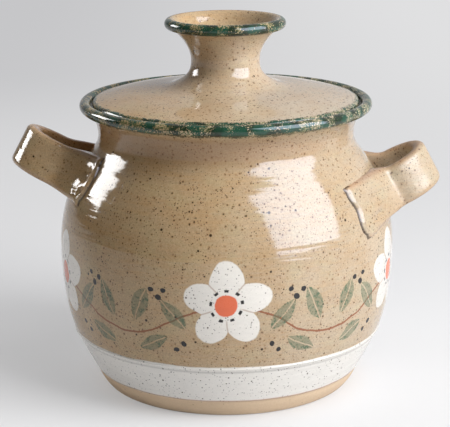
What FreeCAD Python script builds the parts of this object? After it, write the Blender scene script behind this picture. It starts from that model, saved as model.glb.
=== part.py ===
"""Stoneware bean pot with two strap handles and a lift-off lid, as a parametric FreeCAD document.

Millimetres and degrees. +Z is up, the foot stands on Z = 0 and the pot's axis is the Z axis.
The handles reach out along -X and +X. Every round piece is an outline turned about the axis, and
a handle is a bent strap whose feet are trimmed to the pot's own shoulder.
"""

import FreeCAD
import Part
import Sketcher
import os
import re
from FreeCAD import Vector

# Every driving size: its alias, its value and what it is. Heights are above the foot. A control
# point is a corner of the polygon that a smooth curve follows without touching it.
SIZES = [
    ("foot_r", 64.3, "radius that the pot stands on"),
    ("foot_lift_r", 69.9, "radius at the top of the bare foot band"),
    ("foot_lift_z", 9.0, "height of the bare foot band"),
    ("foot_swell", 0.8, "outward swell of the foot band"),
    ("foot_ring", 9.0, "width of the ring that the pot stands on"),
    ("foot_recess", 2.2, "depth of the trimmed recess inside that ring"),
    ("dip_step", 0.4, "thickness of the dipped band over the bare foot"),
    ("band_r", 80.6, "radius of the pot at the throwing ridge"),
    ("band_z", 29.6, "height of the throwing ridge"),
    ("band_swell", 0.5, "outward swell of the band under the ridge"),
    ("ridge", 0.7, "size of the throwing ridge"),
    ("flank_r", 85.1, "control radius of the flank"),
    ("flank_z", 42.2, "control height of the flank"),
    ("belly_low_r", 87.7, "control radius of the belly's lower half"),
    ("belly_low_z", 62.9, "control height of the belly's lower half"),
    ("belly_high_r", 87.4, "control radius of the belly's upper half"),
    ("belly_high_z", 90.1, "control height of the belly's upper half"),
    ("shoulder_r", 77.7, "control radius of the shoulder"),
    ("shoulder_up", 24.2, "control height of the shoulder over the belly"),
    ("throat_r", 68.1, "control radius where the shoulder turns into the neck"),
    ("throat_up", 10.8, "control height of that turn over the shoulder"),
    ("neck_r", 65.2, "control radius of the neck"),
    ("neck_up", 7.1, "control height of the neck over that turn"),
    ("flare_r", 68.0, "control radius of the flare under the rim"),
    ("flare_up", 10.6, "control height of the flare over the neck"),
    ("rim_r", 75.6, "outer radius of the rolled rim"),
    ("rim_roll", 2.9, "radius of the roll"),
    ("rim_up", 7.6, "height of the top of the rim over the flare"),
    ("wall", 5.6, "thickness of the thrown wall"),
    ("floor_z", 9.0, "height of the inside floor"),
    ("floor_flat_r", 40.0, "radius of the flat of the inside floor"),
    ("seat_down", 4.1, "depth of the gallery that carries the lid under the top of the rim"),
    ("seat_w", 8.4, "width of the gallery"),
    ("seat_round", 1.2, "rounding of the gallery's inner lip"),
    ("lid_gap", 0.9, "radial gap round the lid"),
    ("lid_edge", 4.2, "thickness of the lid at its edge"),
    ("lid_t", 6.4, "thickness of the lid's dome"),
    ("dome_low_r", 57.0, "control radius of the dome's outer part"),
    ("dome_low_rise", 2.9, "rise of that point over the lid's edge"),
    ("dome_high_r", 35.0, "control radius where the dome turns up to the knob"),
    ("dome_high_rise", 5.4, "rise of that point over the lid's edge"),
    ("crown_thin", 1.0, "how much thinner the lid is under the knob"),
    ("flange_gap", 1.2, "radial gap round the locating flange"),
    ("flange_w", 5.2, "thickness of the locating flange"),
    ("flange_drop", 5.0, "drop of the flange below the gallery"),
    ("flange_draft", 0.5, "taper of each side of the flange"),
    ("flange_round", 1.0, "height of the rounding under the flange"),
    ("knob_base_r", 25.5, "radius of the joint between knob and lid"),
    ("knob_base_up", 8.3, "height of that joint over the lid's edge"),
    ("lute_w", 3.5, "control width of the smoothed clay each side of that joint"),
    ("lute_h", 1.9, "control height of the smoothed clay each side of that joint"),
    ("waist_r", 17.4, "control radius of the knob's waist"),
    ("waist_low_up", 4.6, "control height under the waist, over the joint"),
    ("waist_high_up", 17.2, "control height over the waist, over the joint"),
    ("waist_ease", 1.1, "how much wider the knob is at those two heights"),
    ("knob_flare", 5.0, "how much wider the knob is under its lip"),
    ("knob_r", 31.2, "outer radius of the knob's rolled lip"),
    ("knob_roll", 2.85, "radius of that roll"),
    ("knob_h", 32.9, "height of the top of the knob over the joint"),
    ("dish_depth", 15.0, "depth of the hollow in the knob"),
    ("dish_floor_r", 5.0, "radius of the flat of that hollow"),
    ("strap_t", 6.6, "thickness of a handle's strap"),
    ("strap_w", 22.0, "width of the strap round its bend"),
    ("strap_round", 2.6, "rounding of the strap's edges"),
    ("leg_gap", 36.0, "distance between the legs at the pot"),
    ("bend_r", 13.0, "inner radius of the bend"),
    ("handle_out", 29.7, "how far the middle of a bend's outer face is past the shoulder's control radius"),
    ("rise", 28.0, "angle that a handle rises at"),
    ("left_root_down", 2.6, "depth of the point that the left handle rises from under the shoulder"),
    ("left_root_in", 0.6, "how far that point lies inside the shoulder's control radius"),
    ("left_roll", 6.0, "twist of the left handle, its front leg up"),
    ("left_pad", 35.5, "distance from the left handle's middle to the tip of a pad"),
    ("left_pad_up", 18.5, "reach of its pads above the strap's middle"),
    ("left_pad_down", 12.5, "reach of its pads below the strap's middle"),
    ("right_root_down", 11.8, "depth of the point that the right handle rises from under the shoulder"),
    ("right_root_in", -2.4, "how far that point lies inside the shoulder's control radius"),
    ("right_roll", 0.0, "twist of the right handle, its back leg up"),
    ("right_pad", 49.0, "distance from the right handle's middle to the tip of a pad"),
    ("right_pad_up", 22.5, "reach of its pads above the strap's middle"),
    ("right_pad_down", 10.0, "reach of its pads below the strap's middle"),
    ("strap_flare", 19.0, "depth behind the root from which a strap has its full flare"),
    ("pad_t", 4.6, "thickness of a pad"),
    ("wall_fall", 0.455, "part of y * y / radius that the wall falls away by under a pad"),
    ("pad_hollow", 7.0, "hollow radius between a leg and its pad"),
]
SHEET = "sizes"


def size_sheet(document):
    """The driving sizes, one row each: alias, value, note."""
    sheet = document.addObject("Spreadsheet::Sheet", SHEET)
    for row, (alias, value, note) in enumerate(SIZES, start=1):
        sheet.set(f"A{row}", alias)
        sheet.set(f"B{row}", str(value))
        sheet.set(f"C{row}", note)
        sheet.setAlias(f"B{row}", alias)
    document.recompute()


def bound(expression):
    """An expression in plain aliases, as the document reads it."""
    names = {alias for alias, _, _ in SIZES}
    return re.sub(r"[a-z_]+", lambda word: f"{SHEET}.{word[0]}" if word[0] in names else word[0], expression)


class Outline:
    """A closed outline in one of a body's origin planes. A place is a pair of expressions in the
    sheet's aliases, and every corner and control point is bound to its pair."""

    def __init__(self, body, name, role, start):
        self.sketch = body.newObject("Sketcher::SketchObject", name)
        plane = next(item for item in body.Origin.OriginFeatures if item.Role == role)
        self.sketch.AttachmentSupport = [(plane, "")]
        self.sketch.MapMode = "FlatFace"
        self.start = start
        self.here = start
        self.first = None
        self.last = None

    def point(self, place):
        """Where a place lies now."""
        across, along = (float(self.sketch.evalExpression(bound(axis))) for axis in place)
        return Vector(across, along, 0)

    def pin(self, geometry, position, place):
        """Bind a point of the sketch to a place."""
        where = self.point(place)
        for kind, value, expression in zip(("DistanceX", "DistanceY"), where, place):
            index = self.sketch.addConstraint(Sketcher.Constraint(kind, -1, 1, geometry, position, value))
            self.sketch.setExpression(f"Constraints[{index}]", bound(expression))

    def join(self, geometry, place):
        """Make a new edge follow on from the last one and end at a place."""
        start = self.point(self.here)
        ends = sorted((1, 2), key=lambda end: (self.sketch.getPoint(geometry, end) - start).Length)
        if self.last:
            self.sketch.addConstraint(Sketcher.Constraint("Coincident", *self.last, geometry, ends[0]))
        else:
            self.first = (geometry, ends[0])
            self.pin(geometry, ends[0], self.start)
        if place is self.start:
            self.sketch.addConstraint(Sketcher.Constraint("Coincident", *self.first, geometry, ends[1]))
        else:
            self.pin(geometry, ends[1], place)
        self.last = (geometry, ends[1])
        self.here = place

    def line(self, *places):
        """Straight edges through the places."""
        for place in places:
            edge = Part.LineSegment(self.point(self.here), self.point(place))
            self.join(self.sketch.addGeometry(edge, False), place)

    def arc(self, middle, end):
        """A round edge through a middle place."""
        edge = Part.Arc(self.point(self.here), self.point(middle), self.point(end))
        geometry = self.sketch.addGeometry(edge, False)
        self.join(geometry, end)
        mark = self.sketch.addGeometry(Part.Point(self.point(middle)), True)
        self.sketch.addConstraint(Sketcher.Constraint("PointOnObject", mark, 1, geometry))
        self.pin(mark, 1, middle)

    def curve(self, *places):
        """A smooth cubic edge that is led by all the places and ends at the last."""
        controls = [self.point(place) for place in (self.here, *places)]
        spans = len(controls) - 3
        spline = Part.BSplineCurve()
        repeats = [4, *[1] * (spans - 1), 4]
        spline.buildFromPolesMultsKnots(controls, repeats, list(range(spans + 1)), False, 3)
        geometry = self.sketch.addGeometry(spline, False)
        self.join(geometry, places[-1])
        first_control = self.sketch.GeometryCount
        self.sketch.exposeInternalGeometry(geometry)
        for number, place in enumerate(places[:-1], start=1):
            self.pin(first_control + number, 3, place)

    def close(self):
        """Back to the start in a straight line."""
        self.line(self.start)


def turned(body, outline, name, kind="PartDesign::Revolution"):
    """Turn an outline about the body's vertical axis."""
    feature = body.newObject(kind, name)
    feature.Profile = outline.sketch
    feature.ReferenceAxis = (outline.sketch, ["V_Axis"])
    feature.Angle = 360
    return feature


def node(document, name, kind="PartDesign::Body"):
    """A sub-part with a label of its own."""
    item = document.addObject(kind, name)
    item.Label = name
    return item


def on_roll(outer, top, roll, across, up):
    """A place on a roll of clay that is known by its outer radius, its top and its own radius.
    across and up are parts of that own radius, counted from the middle of the roll."""
    return (f"{outer} - {roll} + {roll} * {across}", f"{top} - {roll} + {roll} * {up}")


# Heights over the foot.
SHOULDER_Z = "(belly_high_z + shoulder_up)"
THROAT_Z = f"({SHOULDER_Z} + throat_up)"
NECK_Z = f"({THROAT_Z} + neck_up)"
FLARE_Z = f"({NECK_Z} + flare_up)"
RIM_TOP_Z = f"({FLARE_Z} + rim_up)"
SEAT_Z = f"({RIM_TOP_Z} - seat_down)"
LID_TOP = f"({SEAT_Z} + lid_edge)"
KNOB_BASE_Z = f"({LID_TOP} + knob_base_up)"
KNOB_TOP_Z = f"({KNOB_BASE_Z} + knob_h)"

# Places on the pot's outside, from the foot up.
FOOT = ("foot_r", "0")
FOOT_TOP = ("foot_lift_r", "foot_lift_z")
DIP_LINE = ("foot_lift_r + dip_step", "foot_lift_z + dip_step")
RIDGE_LOW = ("band_r", "band_z")
RIDGE_TOP = ("band_r + ridge * 1.2", "band_z + ridge")
RIDGE_HIGH = ("band_r + ridge", "band_z + ridge * 2")
FLANK = ("flank_r", "flank_z")
BELLY_LOW = ("belly_low_r", "belly_low_z")
BELLY_HIGH = ("belly_high_r", "belly_high_z")
SHOULDER = ("shoulder_r", SHOULDER_Z)
THROAT = ("throat_r", THROAT_Z)
NECK = ("neck_r", NECK_Z)
FLARE = ("flare_r", FLARE_Z)
RIM = ("rim_r", RIM_TOP_Z, "rim_roll")
ROLL_UNDER = on_roll(*RIM, "(-0.2)", "(-0.98)")
ROLL_OUT = on_roll(*RIM, "0.8", "0.6")
ROLL_IN = on_roll(*RIM, "(-1)", "0")


def inside(place):
    """The place one wall thickness in from a place on the outside."""
    return (f"{place[0]} - wall", place[1])


def outer_side(outline):
    """The pot's outside from its foot to the underside of the rolled rim."""
    swell = ("(foot_r + foot_lift_r) / 2 + foot_swell", "foot_lift_z / 2")
    outline.arc(swell, FOOT_TOP)
    outline.line(DIP_LINE)
    bulge = ("(foot_lift_r + dip_step + band_r) / 2 + band_swell", "(foot_lift_z + dip_step + band_z) / 2")
    outline.arc(bulge, RIDGE_LOW)
    outline.arc(RIDGE_TOP, RIDGE_HIGH)
    outline.curve(FLANK, BELLY_LOW, BELLY_HIGH, SHOULDER, THROAT, NECK, FLARE, ROLL_UNDER)


def pot_form(document):
    """The pot's outside as a solid lump, which the handles are trimmed to."""
    body = node(document, "pot_form")
    outline = Outline(body, "form_outline", "XZ_Plane", FOOT)
    outer_side(outline)
    outline.line(("0", ROLL_UNDER[1]), ("0", "0"))
    outline.close()
    turned(body, outline, "form")
    return body


def pot_body(document):
    """The thrown pot: foot, dipped band, belly, neck, rolled rim and the gallery for the lid."""
    body = node(document, "pot_body")
    outline = Outline(body, "wall_outline", "XZ_Plane", FOOT)
    outer_side(outline)
    outline.arc(ROLL_OUT, ROLL_IN)
    lip_r = "rim_r - rim_roll * 2 - seat_w"
    outline.line(("rim_r - rim_roll * 2", SEAT_Z), (f"{lip_r} + seat_round", SEAT_Z))
    bevel = "seat_round * (1 - sqrt(0.5))"
    outline.arc((f"{lip_r} + {bevel}", f"{SEAT_Z} - {bevel}"), (lip_r, f"{SEAT_Z} - seat_round"))
    outline.curve(
        inside(NECK),
        inside(THROAT),
        inside(SHOULDER),
        inside(BELLY_HIGH),
        inside(BELLY_LOW),
        inside(FLANK),
        ("floor_flat_r + (band_r - wall - floor_flat_r) * 0.75", "floor_z"),
        ("floor_flat_r", "floor_z"),
    )
    outline.line(
        ("0", "floor_z"),
        ("0", "foot_recess"),
        ("foot_r - foot_ring - foot_recess", "foot_recess"),
        ("foot_r - foot_ring", "0"),
    )
    outline.close()
    turned(body, outline, "thrown_wall")
    return body


LID_R = "rim_r - rim_roll * 2 - lid_gap"
FLANGE_R = "rim_r - rim_roll * 2 - seat_w - flange_gap"


def lid(document):
    """The lid: a shallow dome with a rounded edge on the gallery and a locating flange below it."""
    body = node(document, "lid")
    outline = Outline(body, "lid_outline", "XZ_Plane", ("0", KNOB_BASE_Z))
    outline.line(("knob_base_r", KNOB_BASE_Z))
    outline.curve(
        ("knob_base_r + lute_w", f"{KNOB_BASE_Z} - lute_h"),
        ("dome_high_r", f"{LID_TOP} + dome_high_rise"),
        ("dome_low_r", f"{LID_TOP} + dome_low_rise"),
        (f"{LID_R} - lid_edge * 0.5", LID_TOP),
    )
    outline.arc((LID_R, f"{SEAT_Z} + lid_edge * 0.5"), (f"{LID_R} - lid_edge * 0.5", SEAT_Z))
    round_z = f"{SEAT_Z} - flange_drop + flange_round"
    outline.line((FLANGE_R, SEAT_Z), (f"{FLANGE_R} - flange_draft", round_z))
    outline.arc(
        (f"{FLANGE_R} - flange_w * 0.5", f"{SEAT_Z} - flange_drop"),
        (f"{FLANGE_R} - flange_w + flange_draft", round_z),
    )
    outline.curve(
        (f"{FLANGE_R} - flange_w", f"{LID_TOP} + dome_low_rise - lid_t"),
        ("dome_low_r * 0.75", f"{LID_TOP} + dome_high_rise - lid_t"),
        ("dome_high_r * 0.5", f"{LID_TOP} + dome_high_rise - lid_t + crown_thin"),
        ("0", f"{LID_TOP} + dome_high_rise - lid_t + crown_thin"),
    )
    outline.close()
    turned(body, outline, "thrown_lid")
    return body


def lid_knob(document):
    """The knob: a waisted trumpet with a rolled lip and a hollow top, luted to the lid."""
    body = node(document, "lid_knob")
    outline = Outline(body, "knob_outline", "XZ_Plane", ("0", KNOB_BASE_Z))
    outline.line(("knob_base_r", KNOB_BASE_Z))
    lip = ("knob_r", KNOB_TOP_Z, "knob_roll")
    dish_z = f"{KNOB_TOP_Z} - dish_depth"
    outline.curve(
        ("knob_base_r - lute_w", f"{KNOB_BASE_Z} + lute_h"),
        ("waist_r + waist_ease", f"{KNOB_BASE_Z} + waist_low_up"),
        ("waist_r", f"{KNOB_BASE_Z} + (waist_low_up + waist_high_up) / 2"),
        ("waist_r + waist_ease", f"{KNOB_BASE_Z} + waist_high_up"),
        ("waist_r + knob_flare", f"{KNOB_TOP_Z} - knob_roll * 3.4"),
        on_roll(*lip, "(-0.4)", "(-0.917)"),
    )
    outline.arc(on_roll(*lip, "1", "0"), on_roll(*lip, "0", "1"))
    outline.curve(
        ("knob_r - knob_roll * 2", KNOB_TOP_Z),
        ("knob_r - knob_roll * 2.6", f"{KNOB_TOP_Z} - dish_depth * 0.45"),
        ("dish_floor_r * 2.6", dish_z),
        ("dish_floor_r", dish_z),
    )
    outline.line(("0", dish_z))
    outline.close()
    turned(body, outline, "thrown_knob")
    return body


def strap(document, name, root_r):
    """A bent strap with two feet turned outwards along the pot. In the sketch of its loop, X runs
    from the root out to the bend and Y from leg to leg. The pot's wall curves away under the feet
    by the square of the distance from the middle."""
    body = node(document, f"{name}_strap")
    pad_span = f"{name}_pad"
    reach = f"((handle_out + {name}_root_in) / cos(rise * 1deg))"
    bend_x = f"({reach} - strap_t - bend_r)"
    outer_leg = "(leg_gap / 2 + strap_t)"

    def wall_x(y):
        """Where the pot's wall lies at a distance from the middle."""
        return f"(-{y} * {y} / {root_r} * wall_fall)"

    deep = f"{wall_x(pad_span)} - wall * 1.5"
    middle_y = f"(({outer_leg} + {pad_span}) / 2)"
    shoulder_y = f"(({outer_leg} + {pad_span} * 5) / 6)"

    def inner_leg(sign):
        """The inner face of one leg, as places from the root to the bend."""
        return [
            (deep, f"{sign} * leg_gap / 2"),
            ("0", f"{sign} * leg_gap / 2"),
            (f"{bend_x} * 0.4", f"{sign} * bend_r"),
            (bend_x, f"{sign} * bend_r"),
        ]

    def outer_leg_and_pad(sign):
        """The outer face of one leg and its pad, as places from the bend to the root."""
        return [
            (bend_x, f"{sign} * (bend_r + strap_t)"),
            (f"{bend_x} * 0.5", f"{sign} * (bend_r + strap_t)"),
            (f"pad_t + pad_hollow * 0.6 + {wall_x(outer_leg)}", f"{sign} * ({outer_leg} - pad_t * 0.2)"),
            (f"pad_t * 0.8 + {wall_x(outer_leg)}", f"{sign} * ({outer_leg} + pad_hollow * 0.2)"),
            (f"pad_t + {wall_x(middle_y)}", f"{sign} * {middle_y}"),
            (f"pad_t + {wall_x(shoulder_y)}", f"{sign} * {shoulder_y}"),
            (f"pad_t * 0.6 + {wall_x(pad_span)}", f"{sign} * {pad_span}"),
            (f"{wall_x(pad_span)} - wall * 0.5", f"{sign} * {pad_span}"),
        ]

    near_in, far_in = inner_leg("1"), inner_leg("-1")
    near_out, far_out = outer_leg_and_pad("1"), outer_leg_and_pad("-1")
    loop = Outline(body, f"{name}_loop", "XY_Plane", near_in[0])
    loop.curve(*near_in[1:])
    loop.arc((f"{reach} - strap_t", "0"), far_in[-1])
    loop.curve(*far_in[-2::-1])
    loop.line((deep, f"-1 * {pad_span}"), far_out[-1])
    loop.curve(*far_out[-2::-1])
    loop.arc((reach, "0"), near_out[0])
    loop.curve(*near_out[1:])
    loop.line((deep, pad_span))
    loop.close()
    band = body.newObject("PartDesign::Pad", f"{name}_band")
    band.Profile = loop.sketch
    band.SideType = "Symmetric"
    band.setExpression("Length", bound(f"({name}_pad_up + {name}_pad_down) * 2"))
    clear = f"({name}_pad_up + {name}_pad_down) * 1.5"
    trim_edge(body, f"{name}_top", "1", f"{name}_pad_up", clear, (deep, bend_x, reach))
    flared = trim_edge(body, f"{name}_bottom", "-1", f"{name}_pad_down", clear, (deep, bend_x, reach))
    document.recompute()
    rounding = body.newObject("PartDesign::Fillet", f"{name}_rounding")
    rounding.Base = (flared, long_edges(flared.Shape))
    rounding.setExpression("Radius", bound("strap_round"))
    return body


def trim_edge(body, name, sign, pad_reach, clear, along):
    """Cut one long edge of a strap to its side view: level round the bend, flared at the feet."""
    deep, bend_x, reach = along
    level = f"{sign} * strap_w / 2"
    flared = f"{sign} * {pad_reach}"
    outside = f"{sign} * {clear}"
    side = Outline(body, name, "XZ_Plane", (f"{deep} - wall", flared))
    side.line(("-strap_flare", flared))
    side.curve(
        ("-strap_flare * 0.4", f"{flared} * 0.64 + {level} * 0.36"),
        (f"{bend_x} * 0.25", f"{flared} * 0.28 + {level} * 0.72"),
        (f"{bend_x} * 0.7", level),
        (f"{bend_x} * 0.95", level),
    )
    side.line((f"{reach} + strap_t", level), (f"{reach} + strap_t", outside), (f"{deep} - wall", outside))
    side.close()
    cut = body.newObject("PartDesign::Pocket", f"{name}_cut")
    cut.Profile = side.sketch
    cut.SideType = "Symmetric"
    cut.Type = "ThroughAll"
    return cut


def long_edges(shape):
    """The names of the edges that run along a strap's top and bottom, from foot to foot. Those
    across it, at its root and where its curved and level trims meet, stay as they are."""
    half_w = min(abs(vertex.Z) for vertex in shape.Vertexes) - 0.1
    return [
        f"Edge{number}"
        for number, edge in enumerate(shape.Edges, start=1)
        if edge.BoundBox.XLength > 0.01 and (edge.BoundBox.ZMin > half_w or edge.BoundBox.ZMax < -half_w)
    ]


def handle(document, name, form, turn):
    """One handle: its strap, set on the shoulder at its rise and twist and trimmed to the pot."""
    root_r = f"(shoulder_r - {name}_root_in)"
    band = strap(document, name, root_r)
    spin = f"placement(vector(0; 0; 0); rotation(vector(0; 0; 1); {turn}))"
    root_z = f"{SHOULDER_Z} - {name}_root_down"
    root = f"placement(vector({root_r}; 0; {root_z}); rotation(vector(0; 1; 0); -rise))"
    twist = f"placement(vector(0; 0; 0); rotation(vector(1; 0; 0); {name}_roll))"
    band.setExpression("Placement", bound(f"{spin} * {root} * {twist}"))
    trimmed = node(document, f"handle_{name}", "Part::Cut")
    trimmed.Base = band
    trimmed.Tool = form
    return trimmed


def checked(document, nodes):
    """Stop unless every object is in order and every sub-part is one valid solid."""
    document.recompute()
    for item in document.Objects:
        if "Invalid" in item.State or "Error" in item.State:
            raise RuntimeError(f"{item.Label}: {item.State}")
    for item in nodes:
        if item.Shape.isNull() or not item.Shape.isValid() or len(item.Shape.Solids) != 1:
            raise RuntimeError(f"{item.Label} is not one valid solid")


def main():
    document = FreeCAD.newDocument("bean_pot")
    size_sheet(document)
    form = pot_form(document)
    nodes = [
        pot_body(document),
        handle(document, "left", form, 180),
        handle(document, "right", form, 0),
        lid(document),
        lid_knob(document),
    ]
    checked(document, nodes)
    os.makedirs("parts", exist_ok=True)
    for item in nodes:
        item.Shape.exportStep(f"parts/{item.Label}.step")


main()
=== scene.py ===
"""Stoneware bean pot: the glazed, sponged and painted surfaces that stand for the solid parts."""

import math

import bpy
import numpy as np
from bpy.props import FloatProperty, FloatVectorProperty, IntProperty, PointerProperty
from mathutils import Matrix, Vector


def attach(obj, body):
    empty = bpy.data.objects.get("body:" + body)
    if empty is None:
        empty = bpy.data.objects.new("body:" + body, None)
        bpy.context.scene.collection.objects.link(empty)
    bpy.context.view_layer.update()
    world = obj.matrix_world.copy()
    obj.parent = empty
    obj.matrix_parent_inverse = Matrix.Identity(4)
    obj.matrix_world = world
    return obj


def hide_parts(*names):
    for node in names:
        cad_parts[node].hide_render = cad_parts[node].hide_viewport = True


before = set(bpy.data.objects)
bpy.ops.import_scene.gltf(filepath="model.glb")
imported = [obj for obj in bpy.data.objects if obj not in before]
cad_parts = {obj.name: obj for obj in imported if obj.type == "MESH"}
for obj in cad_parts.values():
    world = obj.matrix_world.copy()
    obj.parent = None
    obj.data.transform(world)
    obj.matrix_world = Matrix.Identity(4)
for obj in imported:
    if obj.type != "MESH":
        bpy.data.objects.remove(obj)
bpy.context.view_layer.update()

bl_info = {
    "name": "Stoneware bean pot",
    "version": (1, 0, 0),
    "blender": (4, 5, 0),
    "location": "3D View > Sidebar > Bean Pot",
    "description": "A thrown and glazed bean pot with a lift-off lid and two strap handles",
    "category": "Add Mesh",
}

MM = 0.001
POT_BODY, LID_BODY = "pot", "lid"


# Sizes and colours --------------------------------------------------------------------------


def length(name, mm, description):
    """A length that is written in millimetres and kept in metres."""
    return FloatProperty(name=name, description=description, default=mm * MM, unit="LENGTH", precision=4)


def colour(name, red, green, blue, description):
    """A colour that is written as a screen shows it, 0 to 255, and kept as light."""
    light = tuple(to_light(value / 255) for value in (red, green, blue))
    return FloatVectorProperty(
        name=name, description=description, default=(*light, 1.0), size=4, min=0, max=1, subtype="COLOR"
    )


def to_light(value):
    """The light that a screen value from 0 to 1 stands for."""
    return value / 12.92 if value <= 0.04045 else ((value + 0.055) / 1.055) ** 2.4


class PotSizes(bpy.types.PropertyGroup):
    """The thrown pot. A control radius or height is a corner that a smooth outline follows."""

    foot_r: length("Foot radius", 64.3, "Radius that the pot stands on")
    foot_lift_r: length("Foot band radius", 69.9, "Radius at the top of the bare foot band")
    foot_lift_z: length("Foot band height", 9.0, "Height of the bare foot band")
    foot_ring: length("Foot ring", 9.0, "Width of the ring that the pot stands on")
    foot_recess: length("Foot recess", 2.2, "Depth of the recess inside the ring")
    dip_step: length("Dip step", 0.4, "Thickness of the dipped glaze at its lower edge")
    band_r: length("Ridge radius", 80.6, "Radius under the throwing ridge")
    band_z: length("Ridge height", 29.6, "Height of the throwing ridge")
    ridge: length("Ridge size", 0.7, "Size of the throwing ridge")
    flank_r: length("Flank radius", 85.1, "Control radius of the flank")
    flank_z: length("Flank height", 42.2, "Control height of the flank")
    belly_low_r: length("Lower belly radius", 87.7, "Control radius of the lower belly")
    belly_low_z: length("Lower belly height", 62.9, "Control height of the lower belly")
    belly_high_r: length("Upper belly radius", 87.4, "Control radius of the upper belly")
    belly_high_z: length("Upper belly height", 90.1, "Control height of the upper belly")
    shoulder_r: length("Shoulder radius", 77.7, "Control radius of the shoulder")
    shoulder_z: length("Shoulder height", 114.3, "Control height of the shoulder")
    throat_r: length("Throat radius", 68.1, "Control radius where the shoulder turns into the neck")
    throat_z: length("Throat height", 125.1, "Control height where the shoulder turns into the neck")
    neck_r: length("Neck radius", 65.2, "Control radius of the neck")
    neck_z: length("Neck height", 132.2, "Control height of the neck")
    flare_r: length("Flare radius", 68.0, "Control radius of the flare under the rim")
    flare_z: length("Flare height", 142.8, "Control height of the flare under the rim")
    rim_r: length("Rim radius", 75.6, "Outer radius of the rolled rim")
    rim_roll: length("Rim roll", 2.9, "Radius of the roll")
    rim_top_z: length("Rim height", 150.4, "Height of the top of the rim")
    wall: length("Wall", 5.6, "Thickness of the wall")
    floor_z: length("Floor height", 9.0, "Height of the inside floor")
    floor_flat_r: length("Floor flat", 40.0, "Radius of the flat of the inside floor")
    seat_z: length("Seat height", 146.3, "Height of the gallery that carries the lid")
    seat_w: length("Seat width", 8.4, "Width of the gallery")
    rings: length("Throwing rings", 0.16, "Depth of the finger marks round the wall")


class LidSizes(bpy.types.PropertyGroup):
    """The lid and its knob."""

    gap: length("Lid gap", 0.9, "Radial gap round the lid")
    edge: length("Edge thickness", 4.2, "Thickness of the lid at its edge")
    thick: length("Dome thickness", 6.4, "Thickness of the dome")
    dome_low_r: length("Outer dome radius", 57.0, "Control radius of the dome's outer part")
    dome_low_rise: length("Outer dome rise", 2.9, "Rise of that part over the edge")
    dome_high_r: length("Inner dome radius", 35.0, "Control radius where the dome turns up")
    dome_high_rise: length("Inner dome rise", 5.4, "Rise of that part over the edge")
    flange_gap: length("Flange gap", 1.2, "Radial gap round the locating flange")
    flange_w: length("Flange thickness", 5.2, "Thickness of the locating flange")
    flange_drop: length("Flange drop", 5.0, "Drop of the flange below the gallery")
    joint_r: length("Joint radius", 25.5, "Radius of the joint between knob and lid")
    joint_z: length("Joint height", 158.8, "Height of that joint")
    waist_r: length("Waist radius", 17.4, "Control radius of the knob's waist")
    waist_low_z: length("Waist bottom", 163.4, "Control height under the waist")
    waist_high_z: length("Waist top", 176.0, "Control height over the waist")
    knob_r: length("Knob radius", 31.2, "Outer radius of the knob's rolled lip")
    knob_roll: length("Knob roll", 2.85, "Radius of that roll")
    knob_top_z: length("Knob height", 191.7, "Height of the top of the knob")
    dish: length("Dish depth", 15.0, "Depth of the hollow in the knob")
    dish_floor_r: length("Dish floor", 5.0, "Radius of the flat of that hollow")


class HandleSizes(bpy.types.PropertyGroup):
    """The two strap handles."""

    thick: length("Strap thickness", 6.6, "Thickness of the strap")
    width: length("Strap width", 22.0, "Width of the strap round its bend")
    soft: length("Strap rounding", 2.7, "Rounding of the strap's edges")
    leg_gap: length("Leg gap", 36.0, "Distance between the legs at the pot")
    bend_r: length("Bend radius", 13.0, "Inner radius of the bend")
    out: length("Reach", 29.7, "How far the bend is past the shoulder's control radius")
    rise: FloatProperty(
        name="Rise", description="Angle that a handle rises at", default=math.radians(28.0), subtype="ANGLE"
    )
    pad: length("Pad thickness", 3.4, "Thickness of the pressed pads")
    flare: length("Flare depth", 19.0, "Depth behind the root from which a strap has its full flare")
    dent: length("Thumb dent", 2.2, "Depth of the thumb dents in the pads")


class GlazeColours(bpy.types.PropertyGroup):
    """The glazes, slips and clays."""

    buff: colour("Buff glaze", 181, 164, 141, "The glaze over most of the pot")
    buff_warm: colour("Warm buff", 169, 143, 110, "Where the glaze lies thin")
    buff_cool: colour("Cool buff", 176, 165, 138, "Where the glaze is a little green")
    # Painted shade: a warm tint multiplied onto the glaze on the left, making it darker and less blue there.
    painted_left_shade: colour("Toast", 255, 241, 217, "Warm tint that is multiplied onto the glaze on the left")
    speck: colour("Iron speck", 44, 29, 17, "The middle of an iron speck")
    speck_grey: colour("Grey speck", 74, 66, 58, "An iron speck under the white slip")
    # The speck halo's brown also paints shade: the rim's shadow on the neck and the shade inside the left
    # loop.
    halo_and_shade: colour("Speck halo", 138, 96, 56, "The bleed round an iron speck")
    slip: colour("White slip", 224, 220, 213, "The dipped band and the petals")
    bare: colour("Bare clay", 202, 177, 147, "The unglazed foot")
    burn: colour("Burnt edge", 176, 118, 72, "The line where the glaze ends")
    sponge_dark: colour("Dark sponge green", 26, 40, 28, "The thick dabs of sponged green")
    sponge_mid: colour("Sponge green", 58, 88, 58, "The thinner green in the dabs")
    sponge_olive: colour("Sponge olive", 96, 102, 62, "The open marks of the sponge's pores")
    sponge_teal: colour("Sponge teal", 24, 66, 52, "The blue-green dabs")
    leaf: colour("Leaf green", 72, 94, 70, "The leaves of the garland")
    stem: colour("Stem brown", 128, 66, 34, "The stems of the garland")
    berry: colour("Berry black", 28, 24, 22, "The berries of the garland")
    heart: colour("Blossom orange", 214, 92, 44, "The hearts of the blossoms")
    floor: colour("Floor", 216, 216, 217, "The floor round the pot")
    floor_glow: colour("Floor glow", 246, 246, 247, "The light that the floor passes on from below")
    sweep_left: colour("Sweep left", 198, 198, 200, "The sweep behind, on the left")
    sweep_right: colour("Sweep right", 224, 224, 225, "The sweep behind, on the right")


class BeanPotSettings(bpy.types.PropertyGroup):
    """Everything that a user would change."""

    pot: PointerProperty(type=PotSizes)
    lid: PointerProperty(type=LidSizes)
    handle: PointerProperty(type=HandleSizes)
    colours: PointerProperty(type=GlazeColours)
    turns: IntProperty(name="Turns", description="Steps round a thrown piece", default=300, min=24, max=320)


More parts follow.
